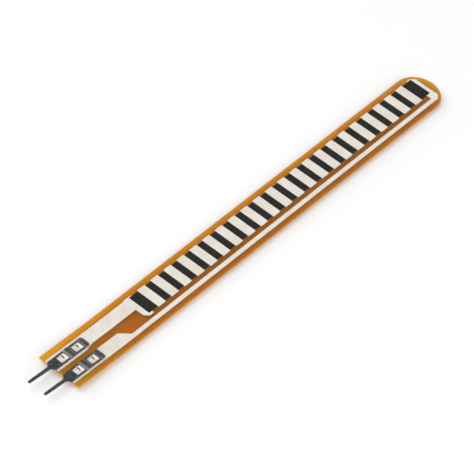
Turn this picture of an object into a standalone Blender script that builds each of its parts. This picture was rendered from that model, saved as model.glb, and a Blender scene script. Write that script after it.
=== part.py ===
"""A printed flex sensor: an amber film strip with a carbon band, silver bars across it and two crimped solder tabs.

Metres, +Z up. The strip lies along X with its round tip at +X and its solder tails at -X. The supply side is at +Y.
The film lies flat on Z = 0, apart from its terminal end, which the tines curled under it hold off the table.
"""

import math

import bmesh
import bpy
from mathutils import Vector

# Film
FILM_WIDTH = 0.00635
FILM_THICKNESS = 0.0002
TIP_ARC_STEPS = 48

# Printed layers
SILVER_THICKNESS = 0.00002
CARBON_THICKNESS = 0.00002
DRAPE_RUN = 0.00006  # length of the slope where one ink runs down over the edge of another
INK_CORNER = 0.00012

# Carbon band and the bars across it
ACTIVE_LENGTH = 0.05537  # between the inner edges of the two contact bars
SEGMENT_COUNT = 22
SEGMENT_WIDTH = 0.00135
SEGMENT_MARGIN = 0.00077  # bare film beyond the segments' ends, on the supply side
SEGMENT_TO_RUN = 0.00064  # bare film between the segments' other ends and the return trace's run
SEGMENT_OVERHANG = 0.000146  # past each long edge of the carbon band

# Contact bars under the two ends of the band
BAR_WIDTH = 0.00132
BAND_OVERLAP_START = 0.00052
BAND_OVERLAP_TIP = 0.00072
START_BAR_DROP = 0.00019  # how far the start bar runs past the segments, towards the return trace
START_BAR_CHAMFER = 0.00058
TIP_MARGIN = 0.00115  # bare film beyond the tip bar
TIP_BAR_EDGE_MARGIN = 0.00042  # bare film round the tip bar's corners

# Traces
LEAD_LENGTH = 0.0145  # from the film's square end to the start bar
SUPPLY_MARGIN = 0.000865  # bare film beside the supply trace
RETURN_MARGIN = 0.00079  # bare film beside the return trace
TRACE_WIDTH = 0.00186
SUPPLY_PAD_REACH = 0.0003  # how far the supply pad shows past its terminal, towards the return pad
SUPPLY_PAD_SLOPE = 0.0014  # length over which the supply pad narrows to its trace
PAD_BEYOND_PLATE = 0.00045  # from the terminal's far end to where the supply trace is down to its own width
STEP_RUN = 0.0003  # length over which the supply trace widens to the start bar
RETURN_PAD_REACH = 0.000055  # how far the return pad shows past its terminal, towards the supply pad
RETURN_RUN_WIDTH = 0.00058
TAPER_TO_START_BAR = 0.00326  # from the thin end of the return pad's taper to the start bar
PAD_END_MARGIN = 0.00005

# Solder terminals
TERMINAL_PITCH = 0.00254
TERMINAL_OFFSET_Y = -0.00009  # middle of the pair, from the middle of the film
METAL_THICKNESS = 0.00014
PLATE_WIDTH = 0.0015
RAIL_WIDTH = 0.00022
WINDOW_LENGTH = 0.0014
WINDOW_CORNER = 0.00008
SHOULDER_BAND = 0.00128  # from the film's end to the first window
MIDDLE_BAND = 0.0012
END_BAND = 0.00085
PLATE_CORNER = 0.0003
SHOULDER_LENGTH = 0.0007
SHOULDER_INSET = 0.00012  # from the film's end to the plate's full width
TAIL_WIDTH = 0.00047
TAIL_TIP_WIDTH = 0.00037
TAIL_REACH = 0.00413
TAIL_RISE = 0.0002  # how far the tails bend up towards their tips
TAIL_TIP_CHAMFER = 0.00008
MIDDLE_CROWN = 0.0001
END_CROWN = 0.00006
CROWN_STEPS = 10
SEAT_GAP = 0.000005

# Tines, which go through the film and are curled back under it
TINE_THICKNESS = 0.00012
TINE_ROOT = 0.0001  # length buried in the rail
TINE_SHARE = 0.61  # place of the tines along each window
TINE_SHELF = 0.00048  # flat run of the tines on the supply side of each window, before they turn down
SHORT_TINE_SHELF = -0.00006  # the other tines begin to turn down inside their rail
TINE_BEND = 0.00008
TINE_CURL = 0.00009
TINE_STEPS = 6
TINE_ROOT_HALF = 0.00009
TINE_NECK_HALF = 0.000045
TINE_POINT_HALF = 0.00002
TINE_FILM_GAP = 0.000008
SLIT_CLEARANCE = 0.00002

# Bend that brings the film from the table up to its raised terminal end
BEND_LENGTH = 0.003
BEND_TO_PLATE = 0.0019
BEND_STEPS = 5

CORNER_STEPS = 4
CUTTER_MARGIN = 0.0005  # how far a cutter stands out of what it cuts
SMOOTH_ANGLE = math.radians(30)

# Places along X
FILM_LENGTH = LEAD_LENGTH + BAR_WIDTH + ACTIVE_LENGTH + BAR_WIDTH + TIP_MARGIN
TIP_X = (FILM_LENGTH + TAIL_REACH) / 2
FILM_END_X = TIP_X - FILM_LENGTH
TIP_RADIUS = FILM_WIDTH / 2
TIP_CENTRE_X = TIP_X - TIP_RADIUS
TIP_BAR_OUTER_X = TIP_X - TIP_MARGIN
TIP_BAR_INNER_X = TIP_BAR_OUTER_X - BAR_WIDTH
START_BAR_INNER_X = TIP_BAR_INNER_X - ACTIVE_LENGTH
START_BAR_OUTER_X = START_BAR_INNER_X - BAR_WIDTH
SEGMENT_GAP = (ACTIVE_LENGTH - SEGMENT_COUNT * SEGMENT_WIDTH) / (SEGMENT_COUNT + 1)

FIRST_WINDOW_X = FILM_END_X + SHOULDER_BAND
SECOND_WINDOW_X = FIRST_WINDOW_X + WINDOW_LENGTH + MIDDLE_BAND
PLATE_END_X = SECOND_WINDOW_X + WINDOW_LENGTH + END_BAND
WINDOW_STARTS = (FIRST_WINDOW_X, SECOND_WINDOW_X)
TAIL_END_X = FILM_END_X - TAIL_REACH
SHOULDER_END_X = FILM_END_X + SHOULDER_INSET
SHOULDER_START_X = SHOULDER_END_X - SHOULDER_LENGTH

BEND_END_X = PLATE_END_X + BEND_TO_PLATE
BEND_START_X = BEND_END_X + BEND_LENGTH
BEND_MIDDLE_X = (BEND_START_X + BEND_END_X) / 2
BEND_STATIONS = [BEND_END_X + BEND_LENGTH * step / BEND_STEPS for step in range(BEND_STEPS + 1)]
TINE_DEPTH = TINE_FILM_GAP + TINE_CURL + TINE_THICKNESS / 2
INNER_TINE_X = SECOND_WINDOW_X + WINDOW_LENGTH * TINE_SHARE + TINE_NECK_HALF
END_SLOPE = TINE_DEPTH / (BEND_MIDDLE_X - INNER_TINE_X)

# Places across Y
SUPPLY_EDGE_Y = FILM_WIDTH / 2 - SUPPLY_MARGIN
RETURN_EDGE_Y = RETURN_MARGIN - FILM_WIDTH / 2
RETURN_RUN_HIGH_Y = RETURN_EDGE_Y + RETURN_RUN_WIDTH
SEGMENT_HIGH_Y = FILM_WIDTH / 2 - SEGMENT_MARGIN
SEGMENT_LOW_Y = RETURN_RUN_HIGH_Y + SEGMENT_TO_RUN
BAND_HIGH_Y = SEGMENT_HIGH_Y - SEGMENT_OVERHANG
BAND_LOW_Y = SEGMENT_LOW_Y + SEGMENT_OVERHANG
SUPPLY_Y = TERMINAL_OFFSET_Y + TERMINAL_PITCH / 2
RETURN_Y = TERMINAL_OFFSET_Y - TERMINAL_PITCH / 2
WINDOW_HALF = PLATE_WIDTH / 2 - RAIL_WIDTH

# Levels
SILVER_TOP = FILM_THICKNESS + SILVER_THICKNESS
PLATE_BOTTOM = SILVER_TOP + SEAT_GAP


def clear_scene():
    for obj in list(bpy.data.objects):
        bpy.data.objects.remove(obj, do_unlink=True)


def make_material(name, colour, roughness, metallic=0.0, transmission=0.0):
    material = bpy.data.materials.new(name)
    material.use_nodes = True
    shader = material.node_tree.nodes["Principled BSDF"]
    shader.inputs["Base Color"].default_value = (*colour, 1.0)
    shader.inputs["Roughness"].default_value = roughness
    shader.inputs["Metallic"].default_value = metallic
    shader.inputs["Transmission Weight"].default_value = transmission
    return material


def bend_height(x):
    """Height of the film's underside at x, by the bend's own curve."""
    if x >= BEND_START_X:
        return 0.0
    if x <= BEND_END_X:
        return END_SLOPE * (BEND_MIDDLE_X - x)
    return END_SLOPE * (BEND_START_X - x) ** 2 / (2 * BEND_LENGTH)


def lift(x):
    """Height of the film's underside at x, straight between the bend's stations, so that layers lie flush."""
    if x <= BEND_END_X or x >= BEND_START_X:
        return bend_height(x)
    step = min(int((x - BEND_END_X) / BEND_LENGTH * BEND_STEPS), BEND_STEPS - 1)
    near, far = BEND_STATIONS[step], BEND_STATIONS[step + 1]
    share = (x - near) / (far - near)
    return (1 - share) * bend_height(near) + share * bend_height(far)


def film_top(x, y):
    return FILM_THICKNESS + lift(x)


def band_seat(x, y):
    """What the carbon band lies on: the film, and a contact bar under each end."""
    from_bar = min(x - START_BAR_INNER_X, TIP_BAR_INNER_X - x)
    on_bar = 1 - min(max(from_bar / DRAPE_RUN, 0.0), 1.0)
    return film_top(x, y) + SILVER_THICKNESS * on_bar


def segment_seat(x, y):
    """What a silver segment lies on: the carbon band, and the film past both of its long edges."""
    from_band = max(BAND_LOW_Y - y, y - BAND_HIGH_Y)
    on_band = 1 - min(max(from_band / DRAPE_RUN, 0.0), 1.0)
    return film_top(x, y) + CARBON_THICKNESS * on_band


def crown(x):
    """Rise of a terminal's cross bands, which bow up between the windows."""
    bands = (
        (FIRST_WINDOW_X + WINDOW_LENGTH, MIDDLE_BAND, MIDDLE_CROWN),
        (SECOND_WINDOW_X + WINDOW_LENGTH, END_BAND, END_CROWN),
    )
    for start, length, rise in bands:
        if start < x < start + length:
            return rise * math.sin(math.pi * (x - start) / length)
    return 0.0


def plate_seat(x, y):
    tail_share = max(SHOULDER_START_X - x, 0.0) / (SHOULDER_START_X - TAIL_END_X)
    return PLATE_BOTTOM + lift(x) + crown(x) + TAIL_RISE * tail_share


def arc(centre_x, centre_y, radius, start, end, steps):
    turns = [start + (end - start) * step / steps for step in range(steps + 1)]
    return [(centre_x + radius * math.cos(turn), centre_y + radius * math.sin(turn)) for turn in turns]


def rounded(corners):
    """An outline from (x, y, radius) corners, with an arc at each corner that has a radius."""
    outline = []
    for index, (x, y, radius) in enumerate(corners):
        here = Vector((x, y))
        before = (Vector(corners[index - 1][:2]) - here).normalized()
        after = (Vector(corners[(index + 1) % len(corners)][:2]) - here).normalized()
        half = before.angle(after) / 2
        if radius == 0 or math.isclose(half, math.pi / 2):
            outline.append((x, y))
            continue
        centre = here + (before + after).normalized() * radius / math.sin(half)
        first = here + before * radius / math.tan(half) - centre
        last = here + after * radius / math.tan(half) - centre
        start = math.atan2(first.y, first.x)
        sweep = (math.atan2(last.y, last.x) - start + math.pi) % math.tau - math.pi
        outline += arc(centre.x, centre.y, radius, start, start + sweep, CORNER_STEPS)
    return outline


def prism(outline, low, high):
    """A closed bmesh: the outline's flat shape, from one level to the other."""
    bm = bmesh.new()
    face = bm.faces.new([bm.verts.new((x, y, low)) for x, y in outline])
    top = bmesh.ops.extrude_face_region(bm, geom=[face])["geom"]
    raised = [item for item in top if isinstance(item, bmesh.types.BMVert)]
    bmesh.ops.translate(bm, verts=raised, vec=(0, 0, high - low))
    bmesh.ops.recalc_face_normals(bm, faces=bm.faces[:])
    return bm


def cut_across(bm, places, axis):
    """Adds an edge line at each place along the axis, so that the shape can bend there."""
    for place in places:
        point = Vector((0, 0, 0))
        point[axis] = place
        normal = Vector((0, 0, 0))
        normal[axis] = 1
        geometry = bm.verts[:] + bm.edges[:] + bm.faces[:]
        bmesh.ops.bisect_plane(bm, geom=geometry, dist=1e-8, plane_co=point, plane_no=normal)


def lay_on(bm, seat):
    for vert in bm.verts:
        vert.co.z += seat(vert.co.x, vert.co.y)


def add_object(name, bm, material=None):
    mesh = bpy.data.meshes.new(name)
    bm.to_mesh(mesh)
    bm.free()
    obj = bpy.data.objects.new(name, mesh)
    bpy.context.scene.collection.objects.link(obj)
    if material is None:
        obj.hide_render = True
        obj.display_type = "WIRE"
    else:
        mesh.materials.append(material)
        mesh.shade_smooth()
        mesh.set_sharp_from_angle(angle=SMOOTH_ANGLE)
    return obj


def combine(obj, other, operation):
    modifier = obj.modifiers.new(other.name, "BOOLEAN")
    modifier.operation = operation
    modifier.object = other


def make_film(material):
    outline = [(FILM_END_X, -FILM_WIDTH / 2)]
    outline += arc(TIP_CENTRE_X, 0, TIP_RADIUS, -math.pi / 2, math.pi / 2, TIP_ARC_STEPS)
    outline.append((FILM_END_X, FILM_WIDTH / 2))
    bm = prism(outline, 0, FILM_THICKNESS)
    cut_across(bm, BEND_STATIONS, axis=0)
    lay_on(bm, lambda x, y: lift(x))
    return add_object("base_film", bm, material)


def make_supply_trace(material):
    pad_x = FILM_END_X + PAD_END_MARGIN
    narrow_x = PLATE_END_X + PAD_BEYOND_PLATE
    trace_low = SUPPLY_EDGE_Y - TRACE_WIDTH
    pad_low = SUPPLY_Y - PLATE_WIDTH / 2 - SUPPLY_PAD_REACH
    bar_low = SEGMENT_LOW_Y - START_BAR_DROP
    outline = rounded(
        [
            (pad_x, pad_low, 0),
            (narrow_x - SUPPLY_PAD_SLOPE, pad_low, 0),
            (narrow_x, trace_low, 0),
            (START_BAR_OUTER_X, trace_low, 0),
            (START_BAR_OUTER_X, bar_low + START_BAR_CHAMFER, 0),
            (START_BAR_OUTER_X + START_BAR_CHAMFER, bar_low, 0),
            (START_BAR_INNER_X, bar_low, INK_CORNER),
            (START_BAR_INNER_X, SEGMENT_HIGH_Y, INK_CORNER),
            (START_BAR_OUTER_X, SEGMENT_HIGH_Y, 0),
            (START_BAR_OUTER_X - STEP_RUN, SUPPLY_EDGE_Y, 0),
            (pad_x, SUPPLY_EDGE_Y, 0),
        ]
    )
    bm = prism(outline, 0, SILVER_THICKNESS)
    cut_across(bm, BEND_STATIONS, axis=0)
    lay_on(bm, film_top)
    return add_object("supply_trace", bm, material)


def tip_corner(y_from, y_to):
    """The tip bar's outer corner between two levels across the film, at an even margin from the film's round edge."""
    radius = TIP_RADIUS - TIP_BAR_EDGE_MARGIN
    start = math.asin(y_from / radius)
    end = math.asin(y_to / radius)
    return arc(TIP_CENTRE_X, 0, radius, start, end, CORNER_STEPS)


def make_return_trace(material):
    pad_x = FILM_END_X + PAD_END_MARGIN
    low = RETURN_EDGE_Y
    pad_high = RETURN_Y + PLATE_WIDTH / 2 + RETURN_PAD_REACH
    run_high = RETURN_RUN_HIGH_Y
    taper_x = START_BAR_OUTER_X - TAPER_TO_START_BAR
    side_y = math.sqrt((TIP_RADIUS - TIP_BAR_EDGE_MARGIN) ** 2 - (TIP_BAR_OUTER_X - TIP_CENTRE_X) ** 2)
    outline = [(pad_x, low)]
    outline += tip_corner(low, -side_y)
    outline += tip_corner(side_y, SEGMENT_HIGH_Y)
    outline += [
        (TIP_BAR_INNER_X, SEGMENT_HIGH_Y),
        (TIP_BAR_INNER_X, run_high),
        (taper_x, run_high),
        (taper_x - (pad_high - run_high), pad_high),
        (pad_x, pad_high),
    ]
    bm = prism(outline, 0, SILVER_THICKNESS)
    cut_across(bm, BEND_STATIONS, axis=0)
    lay_on(bm, film_top)
    return add_object("return_trace", bm, material)


def make_carbon_band(material):
    start_x = START_BAR_INNER_X - BAND_OVERLAP_START
    end_x = TIP_BAR_INNER_X + BAND_OVERLAP_TIP
    outline = [(start_x, BAND_LOW_Y), (end_x, BAND_LOW_Y), (end_x, BAND_HIGH_Y), (start_x, BAND_HIGH_Y)]
    folds = (
        START_BAR_INNER_X,
        START_BAR_INNER_X + DRAPE_RUN,
        TIP_BAR_INNER_X - DRAPE_RUN,
        TIP_BAR_INNER_X,
    )
    bm = prism(outline, 0, CARBON_THICKNESS)
    cut_across(bm, folds, axis=0)
    lay_on(bm, band_seat)
    return add_object("resistive_strip", bm, material)


def make_segment(number, material):
    start_x = START_BAR_INNER_X + SEGMENT_GAP * number + SEGMENT_WIDTH * (number - 1)
    end_x = start_x + SEGMENT_WIDTH
    outline = rounded(
        [
            (start_x, SEGMENT_LOW_Y, INK_CORNER / 2),
            (end_x, SEGMENT_LOW_Y, INK_CORNER / 2),
            (end_x, SEGMENT_HIGH_Y, INK_CORNER / 2),
            (start_x, SEGMENT_HIGH_Y, INK_CORNER / 2),
        ]
    )
    folds = (BAND_LOW_Y - DRAPE_RUN, BAND_LOW_Y, BAND_HIGH_Y, BAND_HIGH_Y + DRAPE_RUN)
    bm = prism(outline, 0, SILVER_THICKNESS)
    cut_across(bm, folds, axis=1)
    lay_on(bm, segment_seat)
    return add_object(f"segment_{number:02d}", bm, material)


def shoulder_half_width(x):
    """Half the terminal's width where the tail widens into the plate."""
    share = (x - SHOULDER_START_X) / SHOULDER_LENGTH
    smooth = share * share * (3 - 2 * share)
    return (TAIL_WIDTH + (PLATE_WIDTH - TAIL_WIDTH) * smooth) / 2


def terminal_outline(centre_y):
    """One side of the terminal from the tail's tip to the plate's end, and the other side back."""
    tip_half = TAIL_TIP_WIDTH / 2
    side = [(TAIL_END_X, tip_half - TAIL_TIP_CHAMFER), (TAIL_END_X + TAIL_TIP_CHAMFER, tip_half)]
    for step in range(CORNER_STEPS * 2 + 1):
        x = SHOULDER_START_X + SHOULDER_LENGTH * step / (CORNER_STEPS * 2)
        side.append((x, shoulder_half_width(x)))
    corner_x = PLATE_END_X - PLATE_CORNER
    side += arc(corner_x, PLATE_WIDTH / 2 - PLATE_CORNER, PLATE_CORNER, math.pi / 2, 0, CORNER_STEPS)
    low = [(x, centre_y - half) for x, half in side]
    high = [(x, centre_y + half) for x, half in reversed(side)]
    return low + high


def window_outline(start_x, centre_y):
    end_x = start_x + WINDOW_LENGTH
    return rounded(
        [
            (start_x, centre_y - WINDOW_HALF, WINDOW_CORNER),
            (end_x, centre_y - WINDOW_HALF, WINDOW_CORNER),
            (end_x, centre_y + WINDOW_HALF, WINDOW_CORNER),
            (start_x, centre_y + WINDOW_HALF, WINDOW_CORNER),
        ]
    )


def tine_path(shelf):
    """Stations (across, up, heading) of a tine's middle line, from inside the rail to its point under the film."""
    curl_level = -METAL_THICKNESS / 2 - PLATE_BOTTOM - TINE_FILM_GAP
    curl_across = shelf + TINE_BEND - TINE_CURL
    stations = [(-TINE_ROOT, 0.0, 0.0)]
    for step in range(TINE_STEPS + 1):
        turn = math.pi / 2 * step / TINE_STEPS
        stations.append((shelf + TINE_BEND * math.sin(turn), TINE_BEND * (math.cos(turn) - 1), -turn))
    for step in range(TINE_STEPS + 1):
        turn = math.pi * step / TINE_STEPS
        across = curl_across + TINE_CURL * math.cos(turn)
        stations.append((across, curl_level - TINE_CURL * math.sin(turn), -math.pi / 2 - turn))
    return stations


def tine_half_widths(count):
    """Half widths from root to point: a straight taper from the rail to the neck, and from there to the point."""
    widths = [TINE_ROOT_HALF]
    for index in range(count - 1):
        share = index / (count - 2)
        widths.append(TINE_NECK_HALF + (TINE_POINT_HALF - TINE_NECK_HALF) * share)
    return widths


def add_tine(bm, centre_x, rail_y, inward, shelf):
    """A curled ribbon whose root is in the rail at rail_y. inward is +1 or -1, the way to the window's middle."""
    stations = tine_path(shelf)
    rings = []
    for (across, up, heading), half in zip(stations, tine_half_widths(len(stations))):
        ring = []
        for side, layer in ((-1, -1), (1, -1), (1, 1), (-1, 1)):
            offset = layer * TINE_THICKNESS / 2
            x = centre_x + side * half
            y = rail_y + inward * (across - offset * math.sin(heading))
            middle = PLATE_BOTTOM + lift(x) + METAL_THICKNESS / 2
            ring.append(bm.verts.new((x, y, middle + up + offset * math.cos(heading))))
        rings.append(ring)
    faces = [bm.faces.new(rings[0]), bm.faces.new(rings[-1])]
    for first, second in zip(rings, rings[1:]):
        for index in range(4):
            after = (index + 1) % 4
            faces.append(bm.faces.new((first[index], first[after], second[after], second[index])))
    bmesh.ops.recalc_face_normals(bm, faces=faces)


def tines_of(centre_y):
    """(x, y of the rail's inner edge, way to the window's middle, shelf) of a terminal's four tines."""
    tines = []
    for start_x in WINDOW_STARTS:
        x = start_x + WINDOW_LENGTH * TINE_SHARE
        tines.append((x, centre_y + WINDOW_HALF, -1, TINE_SHELF))
        tines.append((x, centre_y - WINDOW_HALF, 1, SHORT_TINE_SHELF))
    return tines


def make_terminal(name, centre_y, material):
    bm = prism(terminal_outline(centre_y), 0, METAL_THICKNESS)
    folds = [SHOULDER_START_X]
    for start, length in ((FIRST_WINDOW_X + WINDOW_LENGTH, MIDDLE_BAND), (SECOND_WINDOW_X + WINDOW_LENGTH, END_BAND)):
        folds += [start + length * step / CROWN_STEPS for step in range(CROWN_STEPS)]
    cut_across(bm, folds, axis=0)
    lay_on(bm, plate_seat)
    terminal = add_object(name, bm, material)

    windows = bmesh.new()
    for start_x in WINDOW_STARTS:
        low = plate_seat(start_x, centre_y) - CUTTER_MARGIN
        high = plate_seat(start_x, centre_y) + CUTTER_MARGIN
        window = prism(window_outline(start_x, centre_y), low, high)
        piece = bpy.data.meshes.new("window")
        window.to_mesh(piece)
        window.free()
        windows.from_mesh(piece)
        bpy.data.meshes.remove(piece)
    combine(terminal, add_object(f"{name}_window_cutter", windows), "DIFFERENCE")

    tines = bmesh.new()
    for x, rail_y, inward, shelf in tines_of(centre_y):
        add_tine(tines, x, rail_y, inward, shelf)
    combine(terminal, add_object(f"{name}_tines", tines), "UNION")
    return terminal


def make_slit_cutter():
    """Upright boxes where the tines go through the film and the ink on it."""
    bm = bmesh.new()
    for centre_y in (SUPPLY_Y, RETURN_Y):
        for x, rail_y, inward, shelf in tines_of(centre_y):
            box = bmesh.ops.create_cube(bm, size=1)["verts"]
            half_x = TINE_NECK_HALF + SLIT_CLEARANCE
            half_y = TINE_THICKNESS / 2 + SLIT_CLEARANCE
            height = SILVER_TOP + CUTTER_MARGIN * 2
            bmesh.ops.scale(bm, verts=box, vec=(2 * half_x, 2 * half_y, height))
            middle = Vector((x, rail_y + inward * (shelf + TINE_BEND), lift(x) + SILVER_TOP / 2))
            bmesh.ops.translate(bm, verts=box, vec=middle)
    return add_object("tine_slit_cutter", bm)


def build():
    clear_scene()
    film_colour = make_material("amber_polyimide", (0.56, 0.24, 0.02), 0.3, transmission=0.3)
    silver_ink = make_material("silver_ink", (0.79, 0.76, 0.70), 0.45)
    carbon_ink = make_material("carbon_ink", (0.028, 0.027, 0.027), 0.6)
    tin_plate = make_material("tin_plated_bronze", (0.22, 0.22, 0.22), 0.3, metallic=1.0)

    sensor = bpy.data.objects.new("flex_sensor", None)
    bpy.context.scene.collection.objects.link(sensor)
    film = make_film(film_colour)
    supply_trace = make_supply_trace(silver_ink)
    return_trace = make_return_trace(silver_ink)
    slits = make_slit_cutter()
    for layer in (film, supply_trace, return_trace):
        combine(layer, slits, "DIFFERENCE")
    pieces = [film, supply_trace, return_trace, make_carbon_band(carbon_ink)]
    pieces += [make_segment(number, silver_ink) for number in range(1, SEGMENT_COUNT + 1)]
    pieces.append(make_terminal("supply_terminal", SUPPLY_Y, tin_plate))
    pieces.append(make_terminal("return_terminal", RETURN_Y, tin_plate))
    for piece in pieces:
        piece.parent = sensor


build()
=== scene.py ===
"""Dresses the printed flex sensor: clear amber film, silver and carbon inks, and tin-plated crimp terminals.

Metres, +Z up, the strip along X with its round tip at +X and its solder tails at -X.
"""

import math

import bmesh
import bpy
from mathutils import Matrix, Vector


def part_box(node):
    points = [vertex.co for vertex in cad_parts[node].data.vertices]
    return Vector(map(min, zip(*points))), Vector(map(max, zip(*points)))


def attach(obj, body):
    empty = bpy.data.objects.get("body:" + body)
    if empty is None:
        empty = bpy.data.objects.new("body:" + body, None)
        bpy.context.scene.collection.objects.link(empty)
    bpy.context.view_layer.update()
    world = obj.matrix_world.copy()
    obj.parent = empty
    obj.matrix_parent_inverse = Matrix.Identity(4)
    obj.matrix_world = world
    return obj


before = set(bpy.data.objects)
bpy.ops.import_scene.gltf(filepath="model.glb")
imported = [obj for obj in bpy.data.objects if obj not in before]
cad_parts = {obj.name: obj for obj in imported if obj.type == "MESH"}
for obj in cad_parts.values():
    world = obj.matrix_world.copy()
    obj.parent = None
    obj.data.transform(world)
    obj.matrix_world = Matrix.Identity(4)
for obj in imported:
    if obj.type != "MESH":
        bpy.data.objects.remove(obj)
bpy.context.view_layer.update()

MM = 0.001
WHITE = "#FFFFFF"

# Nodes of the part, by what they are made of
FILM_NODE = "base_film"
CARBON_NODE = "resistive_strip"
SEGMENTS = 22
SEGMENT_NODES = [f"segment_{number + 1:02d}" for number in range(SEGMENTS)]
SILVER_NODES = ["supply_trace", "return_trace"] + SEGMENT_NODES
TERMINAL_NODES = ["supply_terminal", "return_terminal"]

# Places on the part, as the solids have them
TERMINAL_END_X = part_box(FILM_NODE)[0].x
TIP_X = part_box(FILM_NODE)[1].x
FILM_THICKNESS = 0.2 * MM
SILVER_THICKNESS = 0.02 * MM
TERMINAL_END_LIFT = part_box(FILM_NODE)[1].z - FILM_THICKNESS
RAISED_LENGTH = 9.53 * MM  # from the square end to the bend where the film comes down to the table
TERMINAL_YS = [(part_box(name)[0].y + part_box(name)[1].y) / 2 for name in TERMINAL_NODES]
WINDOW_INSET = 1.28 * MM  # from the film's square end to a terminal's first window
WINDOW_PITCH = 2.6 * MM
WINDOW_XS = [TERMINAL_END_X + WINDOW_INSET + number * WINDOW_PITCH for number in range(2)]
WINDOW_LENGTH = 1.4 * MM
WINDOW_HALF = 0.53 * MM
TINE_SHARE = 0.61  # place of the tines along each window

# Silver pressed up inside the terminals' windows
BULGE_LENGTH = 0.4 * MM
BULGE_HEIGHT = 0.12 * MM
BULGE_STEPS = 14
BULGE_SINK = 0.004 * MM  # its underside runs into the pad, so that no gap shows
BULGE_SIDE_GAP = 0.012 * MM
BULGE_CREST = 0.6  # place of its top along it
BULGE_FALL = 0.7  # share of its height that it loses from there to the window's end
BULGE_SHOULDER = 0.4  # how much lower it is beside the far rail than in the window's middle
BULGE_CREASE = 40  # degrees, above which an edge is sharp

# Rolled edges of the stamped terminals
EDGE_ROLL = 0.03 * MM
EDGE_ROLL_STEPS = 2
EDGE_ROLL_ANGLE = 35  # degrees, above which an edge is rolled
WELD_REACH = 0.0001 * MM

# Film: marks of its casting, and the light that gets through it
DRIFT_SIZE = 4 * MM
STREAK_SIZE = (4 * MM, 0.15 * MM, 4 * MM)
STREAK_DEPTH = 0.004 * MM
FACE_CLEARNESS = 0.9
CUT_CLEARNESS = 0.5
CUT_NORMAL_Z = 0.35  # a surface is a cut edge where its normal's Z is less than this
FACE_NORMAL_Z = 0.85  # and a face where it is more than this

# Silver ink
FLAKE_CLUMP = 0.12 * MM
SILVER_PATCH = 1.8 * MM
SCREEN_THREAD = 0.16 * MM
SCREEN_SHARE = 0.35  # of the weave in the ink's relief, beside the clumps
SILVER_DEPTH = 0.006 * MM
WAVE_PERIOD = math.pi / 10  # of a wave texture whose scale is 1

# Carbon ink
CARBON_CLUMP = 0.1 * MM
CARBON_PATCH = 2.5 * MM
CARBON_DEPTH = 0.006 * MM

# Tin plate: rolling lines, bloom, and a painted highlight at the tines' roots, made near white and matt
LINE_SIZE = (1.2 * MM, 0.07 * MM, 0.07 * MM)
LINE_DEPTH = 0.005 * MM
BLOOM_SIZE = 0.5 * MM
BLOOM_SHARE = 0.8  # of the bloom in the dullness, beside the lines
HIGHLIGHT_INSET = 0.1 * MM
HIGHLIGHT_REACH = 0.14 * MM
HIGHLIGHT_ROUGHNESS = 0.55

# Colour sockets of a Mix node, which share their names with its number sockets
MIX_FIRST = 6
MIX_SECOND = 7
MIX_RESULT = 2

# Camera: a long lens, looking down at the strip from behind its solder tails
CAMERA_PLACE = (-0.247816, -0.148339, 0.298072)
CAMERA_TURN = (43.3105, -8.36, -50.1872)  # degrees, about X, Y, Z
CAMERA_LENS = 253.2815  # mm, on a sensor 36 mm wide
SENSOR_WIDTH = 36.0
CAMERA_NEAR = 0.01
CAMERA_FAR = 20.0

# Table top and studio walls
FLOOR_RADIUS = 6.0
FLOOR_SIDES = 64
FLOOR_DROP = 0.4 * MM  # a film is never quite flat on the table, so light gets under it
FLOOR_WHITE = "#F4F4F4"
FLOOR_GLOW = 0.05  # brings the lit floor up to white for the camera and keeps its shadow
WALL_LEVEL = 0.235

# Softboxes, each turned to the strip's middle: name, place, width, height, watts
SOFTBOXES = (
    ("overhead_softbox", (-0.4, 0.4, 0.8), 1.1, 1.1, 7.3),
    ("front_softbox", (-0.2, -0.8, 0.52), 1.7, 0.9, 7.8),
    ("low_back_softbox", (-0.35, 1.05, 0.3), 2.2, 0.5, 7.2),
    ("tip_side_softbox", (0.9, 0.25, 0.35), 0.7, 0.5, 0.5),
)


def linear(hex_colour):
    """The linear colour of an sRGB hex code, which is what the shaders take."""
    channels = [int(hex_colour[start:start + 2], 16) / 255 for start in (1, 3, 5)]
    lit = [c / 12.92 if c <= 0.04045 else ((c + 0.055) / 1.055) ** 2.4 for c in channels]
    return (*lit, 1.0)


def add_node(tree, kind, stops=None, inputs=None, **settings):
    """Adds a node with its settings. inputs are numbers, colours or other nodes' outputs.

    stops are a colour ramp's, each a place and an sRGB hex code.
    """
    node = tree.nodes.new(kind)
    for name, value in settings.items():
        setattr(node, name, value)
    for name, value in (inputs or {}).items():
        if isinstance(value, bpy.types.NodeSocket):
            tree.links.new(value, node.inputs[name])
        else:
            node.inputs[name].default_value = value
    if stops:
        ramp = node.color_ramp.elements
        while len(ramp) < len(stops):
            ramp.new(1.0)
        for element, (place, colour) in zip(ramp, stops):
            element.position = place
            element.color = linear(colour)
    return node


def new_finish(name):
    """A material with its Principled shader, and the place of each point on the part in metres."""
    material = bpy.data.materials.new(name)
    material.use_nodes = True
    tree = material.node_tree
    shader = tree.nodes["Principled BSDF"]
    place = add_node(tree, "ShaderNodeTexCoord").outputs["Object"]
    return material, tree, shader, place


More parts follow.
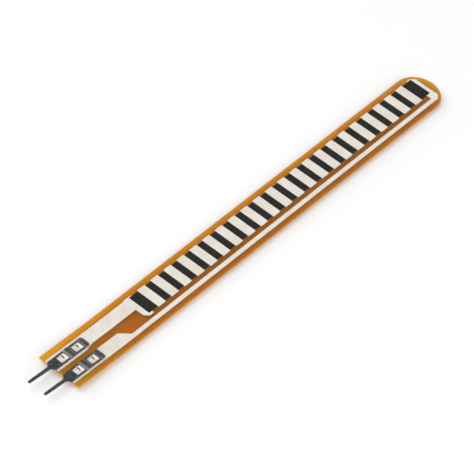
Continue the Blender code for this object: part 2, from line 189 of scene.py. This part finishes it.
def film_amber_and_painted_light(tree, place):
    """The film's colour: its own amber with the drift of its thickness, and painted light that makes it paler
    at both ends.
    """
    axes = add_node(tree, "ShaderNodeSeparateXYZ", inputs={"Vector": place})
    along = add_node(
        tree,
        "ShaderNodeMapRange",
        inputs={"Value": axes.outputs["X"], "From Min": TERMINAL_END_X, "From Max": TIP_X},
    )
    # Painted light: the strip is made paler and yellower at its two ends, standing in for the light that gets
    # in under it from three sides.
    amber = add_node(
        tree,
        "ShaderNodeValToRGB",
        stops=[(0.0, "#FFC20A"), (0.08, "#FFB70C"), (0.2, "#F5AA0E"), (0.94, "#F0A61E"), (0.985, "#FCBC24")],
        inputs={"Fac": along.outputs["Result"]},
    )
    # Thickness drifts over a few millimetres as the film is cast.
    drift = add_node(
        tree, "ShaderNodeTexNoise", inputs={"Vector": place, "Scale": 1 / DRIFT_SIZE, "Detail": 2.0}
    )
    drift_tone = add_node(
        tree,
        "ShaderNodeValToRGB",
        stops=[(0.3, "#E9DDC9"), (0.7, WHITE)],
        inputs={"Fac": drift.outputs["Fac"]},
    )
    mottled = add_node(
        tree,
        "ShaderNodeMix",
        data_type="RGBA",
        blend_type="MULTIPLY",
        inputs={"Factor": 0.35, MIX_FIRST: amber.outputs["Color"], MIX_SECOND: drift_tone.outputs["Color"]},
    )
    return mottled.outputs[MIX_RESULT]


def film_cuts(tree):
    """1 on the film's cut edges and in its slits, and 0 on its two faces."""
    geometry = add_node(tree, "ShaderNodeNewGeometry")
    facing = add_node(tree, "ShaderNodeSeparateXYZ", inputs={"Vector": geometry.outputs["Normal"]})
    upright = add_node(tree, "ShaderNodeMath", operation="ABSOLUTE", inputs={0: facing.outputs["Z"]})
    cut = add_node(
        tree,
        "ShaderNodeMapRange",
        inputs={
            "Value": upright.outputs[0],
            "From Min": CUT_NORMAL_Z,
            "From Max": FACE_NORMAL_Z,
            "To Min": 1.0,
            "To Max": 0.0,
        },
    )
    return cut.outputs["Result"]


def make_polyimide_film():
    """Polyimide film, cast and slit: clear amber with paler, less clear cut edges, a faint haze and casting
    streaks; painted light makes its ends and cut edges paler.
    """
    material, tree, shader, place = new_finish("amber_polyimide_cast")
    # The rough cut edges scatter light and are less clear. Their paler colour is partly that scatter and
    # partly a painted glow of the light that runs inside the film.
    cut = film_cuts(tree)
    scatter_and_painted_glow = add_node(
        tree,
        "ShaderNodeMix",
        data_type="RGBA",
        inputs={"Factor": cut, MIX_FIRST: film_amber_and_painted_light(tree, place), MIX_SECOND: linear("#FBB650")},
    )
    tree.links.new(scatter_and_painted_glow.outputs[MIX_RESULT], shader.inputs["Base Color"])
    clear = add_node(
        tree, "ShaderNodeMapRange", inputs={"Value": cut, "To Min": FACE_CLEARNESS, "To Max": CUT_CLEARNESS}
    )
    tree.links.new(clear.outputs["Result"], shader.inputs["Transmission Weight"])
    # Streaks run along the roll, 0.15 mm wide. Real ones outrun the strip; they are drawn 4 mm long.
    rolled = add_node(
        tree, "ShaderNodeMapping", inputs={"Vector": place, "Scale": [1 / size for size in STREAK_SIZE]}
    )
    streaks = add_node(
        tree, "ShaderNodeTexNoise", inputs={"Vector": rolled.outputs["Vector"], "Scale": 1.0, "Detail": 3.0}
    )
    satin = add_node(
        tree,
        "ShaderNodeMapRange",
        inputs={
            "Value": streaks.outputs["Fac"],
            "From Min": 0.3,
            "From Max": 0.7,
            "To Min": 0.27,
            "To Max": 0.33,
        },
    )
    tree.links.new(satin.outputs["Result"], shader.inputs["Roughness"])
    bump = add_node(
        tree,
        "ShaderNodeBump",
        inputs={"Height": streaks.outputs["Fac"], "Strength": 0.06, "Distance": STREAK_DEPTH},
    )
    tree.links.new(bump.outputs["Normal"], shader.inputs["Normal"])
    shader.inputs["IOR"].default_value = 1.6
    shader.inputs["Specular IOR Level"].default_value = 0.15
    return material


def make_printed_silver():
    """Silver ink, screen printed and cured: flakes in resin, matt, nearly white, with the screen's weave."""
    material, tree, shader, place = new_finish("silver_ink_screen_printed")
    # Flakes of some 0.01 mm clump as the ink dries; drawn 0.12 mm across so that they show.
    clumps = add_node(
        tree, "ShaderNodeTexNoise", inputs={"Vector": place, "Scale": 1 / FLAKE_CLUMP, "Detail": 3.0}
    )
    patches = add_node(
        tree, "ShaderNodeTexNoise", inputs={"Vector": place, "Scale": 1 / SILVER_PATCH, "Detail": 2.0}
    )
    pale = add_node(
        tree,
        "ShaderNodeValToRGB",
        stops=[(0.28, "#DAD5CC"), (0.5, "#EEEAE2"), (0.72, "#F4F1EC")],
        inputs={"Fac": clumps.outputs["Fac"]},
    )
    warm = add_node(
        tree,
        "ShaderNodeValToRGB",
        stops=[(0.35, "#F8F4EC"), (0.65, WHITE)],
        inputs={"Fac": patches.outputs["Fac"]},
    )
    tone = add_node(
        tree,
        "ShaderNodeMix",
        data_type="RGBA",
        blend_type="MULTIPLY",
        inputs={"Factor": 1.0, MIX_FIRST: pale.outputs["Color"], MIX_SECOND: warm.outputs["Color"]},
    )
    tree.links.new(tone.outputs[MIX_RESULT], shader.inputs["Base Color"])
    matt = add_node(
        tree,
        "ShaderNodeMapRange",
        inputs={
            "Value": clumps.outputs["Fac"],
            "From Min": 0.3,
            "From Max": 0.7,
            "To Min": 0.62,
            "To Max": 0.46,
        },
    )
    tree.links.new(matt.outputs["Result"], shader.inputs["Roughness"])
    # The screen's threads are some 0.125 mm apart; their print is drawn at 0.16 mm so that it shows.
    weave = []
    for direction in ("X", "Y"):
        threads = add_node(
            tree,
            "ShaderNodeTexWave",
            bands_direction=direction,
            inputs={"Vector": place, "Scale": WAVE_PERIOD / SCREEN_THREAD},
        )
        weave.append(threads.outputs["Fac"])
    crossed = add_node(tree, "ShaderNodeMath", operation="MULTIPLY", inputs={0: weave[0], 1: weave[1]})
    relief = add_node(
        tree,
        "ShaderNodeMath",
        operation="MULTIPLY_ADD",
        inputs={0: crossed.outputs[0], 1: SCREEN_SHARE, 2: clumps.outputs["Fac"]},
    )
    bump = add_node(
        tree,
        "ShaderNodeBump",
        inputs={"Height": relief.outputs[0], "Strength": 0.5, "Distance": SILVER_DEPTH},
    )
    tree.links.new(bump.outputs["Normal"], shader.inputs["Normal"])
    shader.inputs["Metallic"].default_value = 0.15
    return material


def make_printed_carbon():
    """Carbon ink, screen printed: soot in resin, nearly black, with a faint sheen and a fine dry grain."""
    material, tree, shader, place = new_finish("carbon_ink_screen_printed")
    # Soot clumps to about 0.02 mm; drawn at 0.1 mm so that it shows.
    grains = add_node(
        tree, "ShaderNodeTexNoise", inputs={"Vector": place, "Scale": 1 / CARBON_CLUMP, "Detail": 4.0}
    )
    patches = add_node(
        tree, "ShaderNodeTexNoise", inputs={"Vector": place, "Scale": 1 / CARBON_PATCH, "Detail": 2.0}
    )
    black = add_node(
        tree,
        "ShaderNodeValToRGB",
        stops=[(0.3, "#1D1C1C"), (0.7, "#2F2D2B")],
        inputs={"Fac": grains.outputs["Fac"]},
    )
    worn = add_node(
        tree,
        "ShaderNodeValToRGB",
        stops=[(0.35, "#E7E7E7"), (0.65, WHITE)],
        inputs={"Fac": patches.outputs["Fac"]},
    )
    tone = add_node(
        tree,
        "ShaderNodeMix",
        data_type="RGBA",
        blend_type="MULTIPLY",
        inputs={"Factor": 1.0, MIX_FIRST: black.outputs["Color"], MIX_SECOND: worn.outputs["Color"]},
    )
    tree.links.new(tone.outputs[MIX_RESULT], shader.inputs["Base Color"])
    dry = add_node(
        tree,
        "ShaderNodeMapRange",
        inputs={
            "Value": grains.outputs["Fac"],
            "From Min": 0.3,
            "From Max": 0.7,
            "To Min": 0.7,
            "To Max": 0.5,
        },
    )
    tree.links.new(dry.outputs["Result"], shader.inputs["Roughness"])
    bump = add_node(
        tree,
        "ShaderNodeBump",
        inputs={"Height": grains.outputs["Fac"], "Strength": 0.5, "Distance": CARBON_DEPTH},
    )
    tree.links.new(bump.outputs["Normal"], shader.inputs["Normal"])
    shader.inputs["Specular IOR Level"].default_value = 0.2
    return material


def near_either(tree, along, places):
    """1 near either of two places along an axis, falling to 0 at the painted highlight's reach."""
    middle = sum(places) / 2
    half_apart = abs(places[1] - places[0]) / 2
    from_middle = add_node(tree, "ShaderNodeMath", operation="SUBTRACT", inputs={0: along, 1: middle})
    folded = add_node(tree, "ShaderNodeMath", operation="ABSOLUTE", inputs={0: from_middle.outputs[0]})
    beside = add_node(
        tree, "ShaderNodeMath", operation="SUBTRACT", inputs={0: folded.outputs[0], 1: half_apart}
    )
    away = add_node(tree, "ShaderNodeMath", operation="ABSOLUTE", inputs={0: beside.outputs[0]})
    near = add_node(
        tree,
        "ShaderNodeMapRange",
        inputs={
            "Value": away.outputs[0],
            "From Min": HIGHLIGHT_REACH / 2,
            "From Max": HIGHLIGHT_REACH,
            "To Min": 1.0,
            "To Max": 0.0,
        },
    )
    return near.outputs["Result"]


def tine_roots(tree, place):
    """1 at the tines' roots, beside each window's far rail, and 0 elsewhere on the terminals."""
    axes = add_node(tree, "ShaderNodeSeparateXYZ", inputs={"Vector": place})
    near_x = near_either(tree, axes.outputs["X"], [x + WINDOW_LENGTH * TINE_SHARE for x in WINDOW_XS])
    near_y = near_either(tree, axes.outputs["Y"], [y + WINDOW_HALF - HIGHLIGHT_INSET for y in TERMINAL_YS])
    roots = add_node(tree, "ShaderNodeMath", operation="MULTIPLY", inputs={0: near_x, 1: near_y})
    return roots.outputs[0]


def make_tin_plate():
    """Tin plate over stamped bronze: bright grey metal with rolling lines along it, a cloudy bloom, and a
    painted highlight at the tines' roots.
    """
    material, tree, shader, place = new_finish("tin_plated_bronze_stamped")
    # Rolling lines: 0.03 mm apart on real strip, drawn at 0.07 mm so that they show.
    rolled = add_node(
        tree, "ShaderNodeMapping", inputs={"Vector": place, "Scale": [1 / size for size in LINE_SIZE]}
    )
    lines = add_node(
        tree, "ShaderNodeTexNoise", inputs={"Vector": rolled.outputs["Vector"], "Scale": 1.0, "Detail": 3.0}
    )
    bloom = add_node(
        tree, "ShaderNodeTexNoise", inputs={"Vector": place, "Scale": 1 / BLOOM_SIZE, "Detail": 3.0}
    )
    metal = add_node(
        tree,
        "ShaderNodeValToRGB",
        stops=[(0.3, "#737474"), (0.55, "#818281"), (0.75, "#908F8D")],
        inputs={"Fac": bloom.outputs["Fac"]},
    )
    # Painted highlight: the tines' roots are made near white and matt, standing in for bent faces there that
    # catch the light.
    painted_highlight = tine_roots(tree, place)
    bright = add_node(
        tree,
        "ShaderNodeMix",
        data_type="RGBA",
        inputs={"Factor": painted_highlight, MIX_FIRST: metal.outputs["Color"], MIX_SECOND: linear("#EDECE8")},
    )
    tree.links.new(bright.outputs[MIX_RESULT], shader.inputs["Base Color"])
    both = add_node(
        tree,
        "ShaderNodeMath",
        operation="MULTIPLY_ADD",
        inputs={0: bloom.outputs["Fac"], 1: BLOOM_SHARE, 2: lines.outputs["Fac"]},
    )
    dull = add_node(
        tree,
        "ShaderNodeMapRange",
        inputs={
            "Value": both.outputs[0],
            "From Min": 0.6,
            "From Max": 1.2,
            "To Min": 0.18,
            "To Max": 0.37,
        },
    )
    roughness_with_painted_highlight = add_node(
        tree, "ShaderNodeMix", inputs={"Factor": painted_highlight, "A": dull.outputs["Result"], "B": HIGHLIGHT_ROUGHNESS}
    )
    tree.links.new(roughness_with_painted_highlight.outputs["Result"], shader.inputs["Roughness"])
    bump = add_node(
        tree,
        "ShaderNodeBump",
        inputs={"Height": lines.outputs["Fac"], "Strength": 0.35, "Distance": LINE_DEPTH},
    )
    tree.links.new(bump.outputs["Normal"], shader.inputs["Normal"])
    shader.inputs["Metallic"].default_value = 1.0
    return material


def coat_node(name, material):
    """Gives a CAD node its finish in place of the plain one."""
    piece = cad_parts[name]
    piece.data.materials.clear()
    piece.data.materials.append(material)
    return piece


def roll_edges(piece):
    """Rolls a piece's sharp edges over, so that they catch the light."""
    weld = piece.modifiers.new("join", "WELD")
    weld.merge_threshold = WELD_REACH
    bevel = piece.modifiers.new("rolled_edge", "BEVEL")
    bevel.width = EDGE_ROLL
    bevel.segments = EDGE_ROLL_STEPS
    bevel.limit_method = "ANGLE"
    bevel.angle_limit = math.radians(EDGE_ROLL_ANGLE)
    bevel.harden_normals = True


def pad_top(x):
    """Level of the silver pads' face at x, on the slope of the raised terminal end."""
    slope = TERMINAL_END_LIFT / RAISED_LENGTH
    return slope * (TERMINAL_END_X + RAISED_LENGTH - x) + FILM_THICKNESS + SILVER_THICKNESS


def bulge_rise(share):
    """Height of a bulge at a share of its length: a smooth climb to its crest, then a fall."""
    climb = min(share / BULGE_CREST, 1.0)
    drop = max((share - BULGE_CREST) / (1 - BULGE_CREST), 0.0)
    return BULGE_HEIGHT * (climb * climb * (3 - 2 * climb) - BULGE_FALL * drop * drop)


def make_pad_bulge(name, centre_y, window_x, material):
    """The pad's silver, pressed up by the crimp against the far end of a terminal's window."""
    bm = bmesh.new()
    rows = []
    for step in range(BULGE_STEPS + 1):
        share = step / BULGE_STEPS
        x = window_x + WINDOW_LENGTH - BULGE_LENGTH * (1 - share)
        row = []
        for column in range(BULGE_STEPS + 1):
            across = 2 * column / BULGE_STEPS - 1
            crowned = bulge_rise(share) * (1 - BULGE_SHOULDER * max(across, 0.0) ** 2)
            y = centre_y + across * (WINDOW_HALF - BULGE_SIDE_GAP)
            row.append(bm.verts.new((x, y, pad_top(x) + crowned)))
        rows.append(row)
    for first, second in zip(rows, rows[1:]):
        for column in range(BULGE_STEPS):
            bm.faces.new((first[column], second[column], second[column + 1], first[column + 1]))
    underside = bmesh.ops.extrude_face_region(bm, geom=bm.faces[:])["geom"]
    for vert in [item for item in underside if isinstance(item, bmesh.types.BMVert)]:
        vert.co.z = pad_top(vert.co.x) - BULGE_SINK
    bmesh.ops.recalc_face_normals(bm, faces=bm.faces[:])
    mesh = bpy.data.meshes.new(name)
    bm.to_mesh(mesh)
    bm.free()
    mesh.materials.append(material)
    mesh.shade_smooth()
    mesh.set_sharp_from_angle(angle=math.radians(BULGE_CREASE))
    piece = bpy.data.objects.new(name, mesh)
    bpy.context.scene.collection.objects.link(piece)
    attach(piece, "root")


def make_white_card():
    """Matt white card: plain and pale, so that the camera sees white wherever the strip doesn't shade it."""
    material = bpy.data.materials.new("matt_white_card")
    material.use_nodes = True
    tree = material.node_tree
    tree.nodes.clear()
    ray = add_node(tree, "ShaderNodeLightPath")
    seen = ray.outputs["Is Camera Ray"]
    for kind_of_ray in ("Is Glossy Ray", "Is Transmission Ray"):
        either = add_node(
            tree, "ShaderNodeMath", operation="MAXIMUM", inputs={0: seen, 1: ray.outputs[kind_of_ray]}
        )
        seen = either.outputs[0]
    strength = add_node(tree, "ShaderNodeMath", operation="MULTIPLY", inputs={0: seen, 1: FLOOR_GLOW})
    card = add_node(tree, "ShaderNodeBsdfDiffuse", inputs={"Color": linear(FLOOR_WHITE)})
    glow = add_node(
        tree, "ShaderNodeEmission", inputs={"Color": linear(WHITE), "Strength": strength.outputs[0]}
    )
    both = add_node(tree, "ShaderNodeAddShader", inputs={0: card.outputs[0], 1: glow.outputs[0]})
    add_node(tree, "ShaderNodeOutputMaterial", inputs={"Surface": both.outputs[0]})
    return material


def make_floor():
    """A wide table top just below the strip."""
    bm = bmesh.new()
    bmesh.ops.create_circle(bm, cap_ends=True, segments=FLOOR_SIDES, radius=FLOOR_RADIUS)
    mesh = bpy.data.meshes.new("table_top")
    bm.to_mesh(mesh)
    bm.free()
    mesh.materials.append(make_white_card())
    floor = bpy.data.objects.new("table_top", mesh)
    floor.location.z = -FLOOR_DROP
    bpy.context.scene.collection.objects.link(floor)


def add_softbox(name, place, width, height, watts):
    """A soft rectangular lamp at a place, turned to the strip's middle."""
    light = bpy.data.lights.new(name, "AREA")
    light.shape = "RECTANGLE"
    light.size = width
    light.size_y = height
    light.energy = watts
    lamp = bpy.data.objects.new(name, light)
    lamp.location = place
    lamp.rotation_euler = (-Vector(place)).to_track_quat("-Z", "Y").to_euler()
    bpy.context.scene.collection.objects.link(lamp)


def make_studio():
    """The table top, the softboxes and the pale walls round them."""
    make_floor()
    for softbox in SOFTBOXES:
        add_softbox(*softbox)
    world = bpy.data.worlds.new("studio_walls")
    world.use_nodes = True
    walls = world.node_tree.nodes["Background"]
    walls.inputs["Color"].default_value = linear(WHITE)
    walls.inputs["Strength"].default_value = WALL_LEVEL
    scene = bpy.context.scene
    scene.world = world
    scene.view_settings.view_transform = "Standard"


def place_camera():
    """The camera, at the photograph's viewing angle."""
    camera = bpy.data.cameras.new("camera")
    camera.lens = CAMERA_LENS
    camera.sensor_width = SENSOR_WIDTH
    camera.clip_start = CAMERA_NEAR
    camera.clip_end = CAMERA_FAR
    stand = bpy.data.objects.new("camera", camera)
    stand.location = CAMERA_PLACE
    stand.rotation_euler = [math.radians(turn) for turn in CAMERA_TURN]
    bpy.context.scene.collection.objects.link(stand)
    bpy.context.scene.camera = stand


def dress_part():
    """Finishes every node, and adds the silver that bulges up in the terminals' windows."""
    coat_node(FILM_NODE, make_polyimide_film())
    coat_node(CARBON_NODE, make_printed_carbon())
    silver = make_printed_silver()
    for name in SILVER_NODES:
        coat_node(name, silver)
    tin = make_tin_plate()
    for name, centre_y in zip(TERMINAL_NODES, TERMINAL_YS):
        roll_edges(coat_node(name, tin))
        for number, window_x in enumerate(WINDOW_XS, start=1):
            make_pad_bulge(f"{name}_window_bulge_{number}", centre_y, window_x, silver)


dress_part()
make_studio()
place_camera()
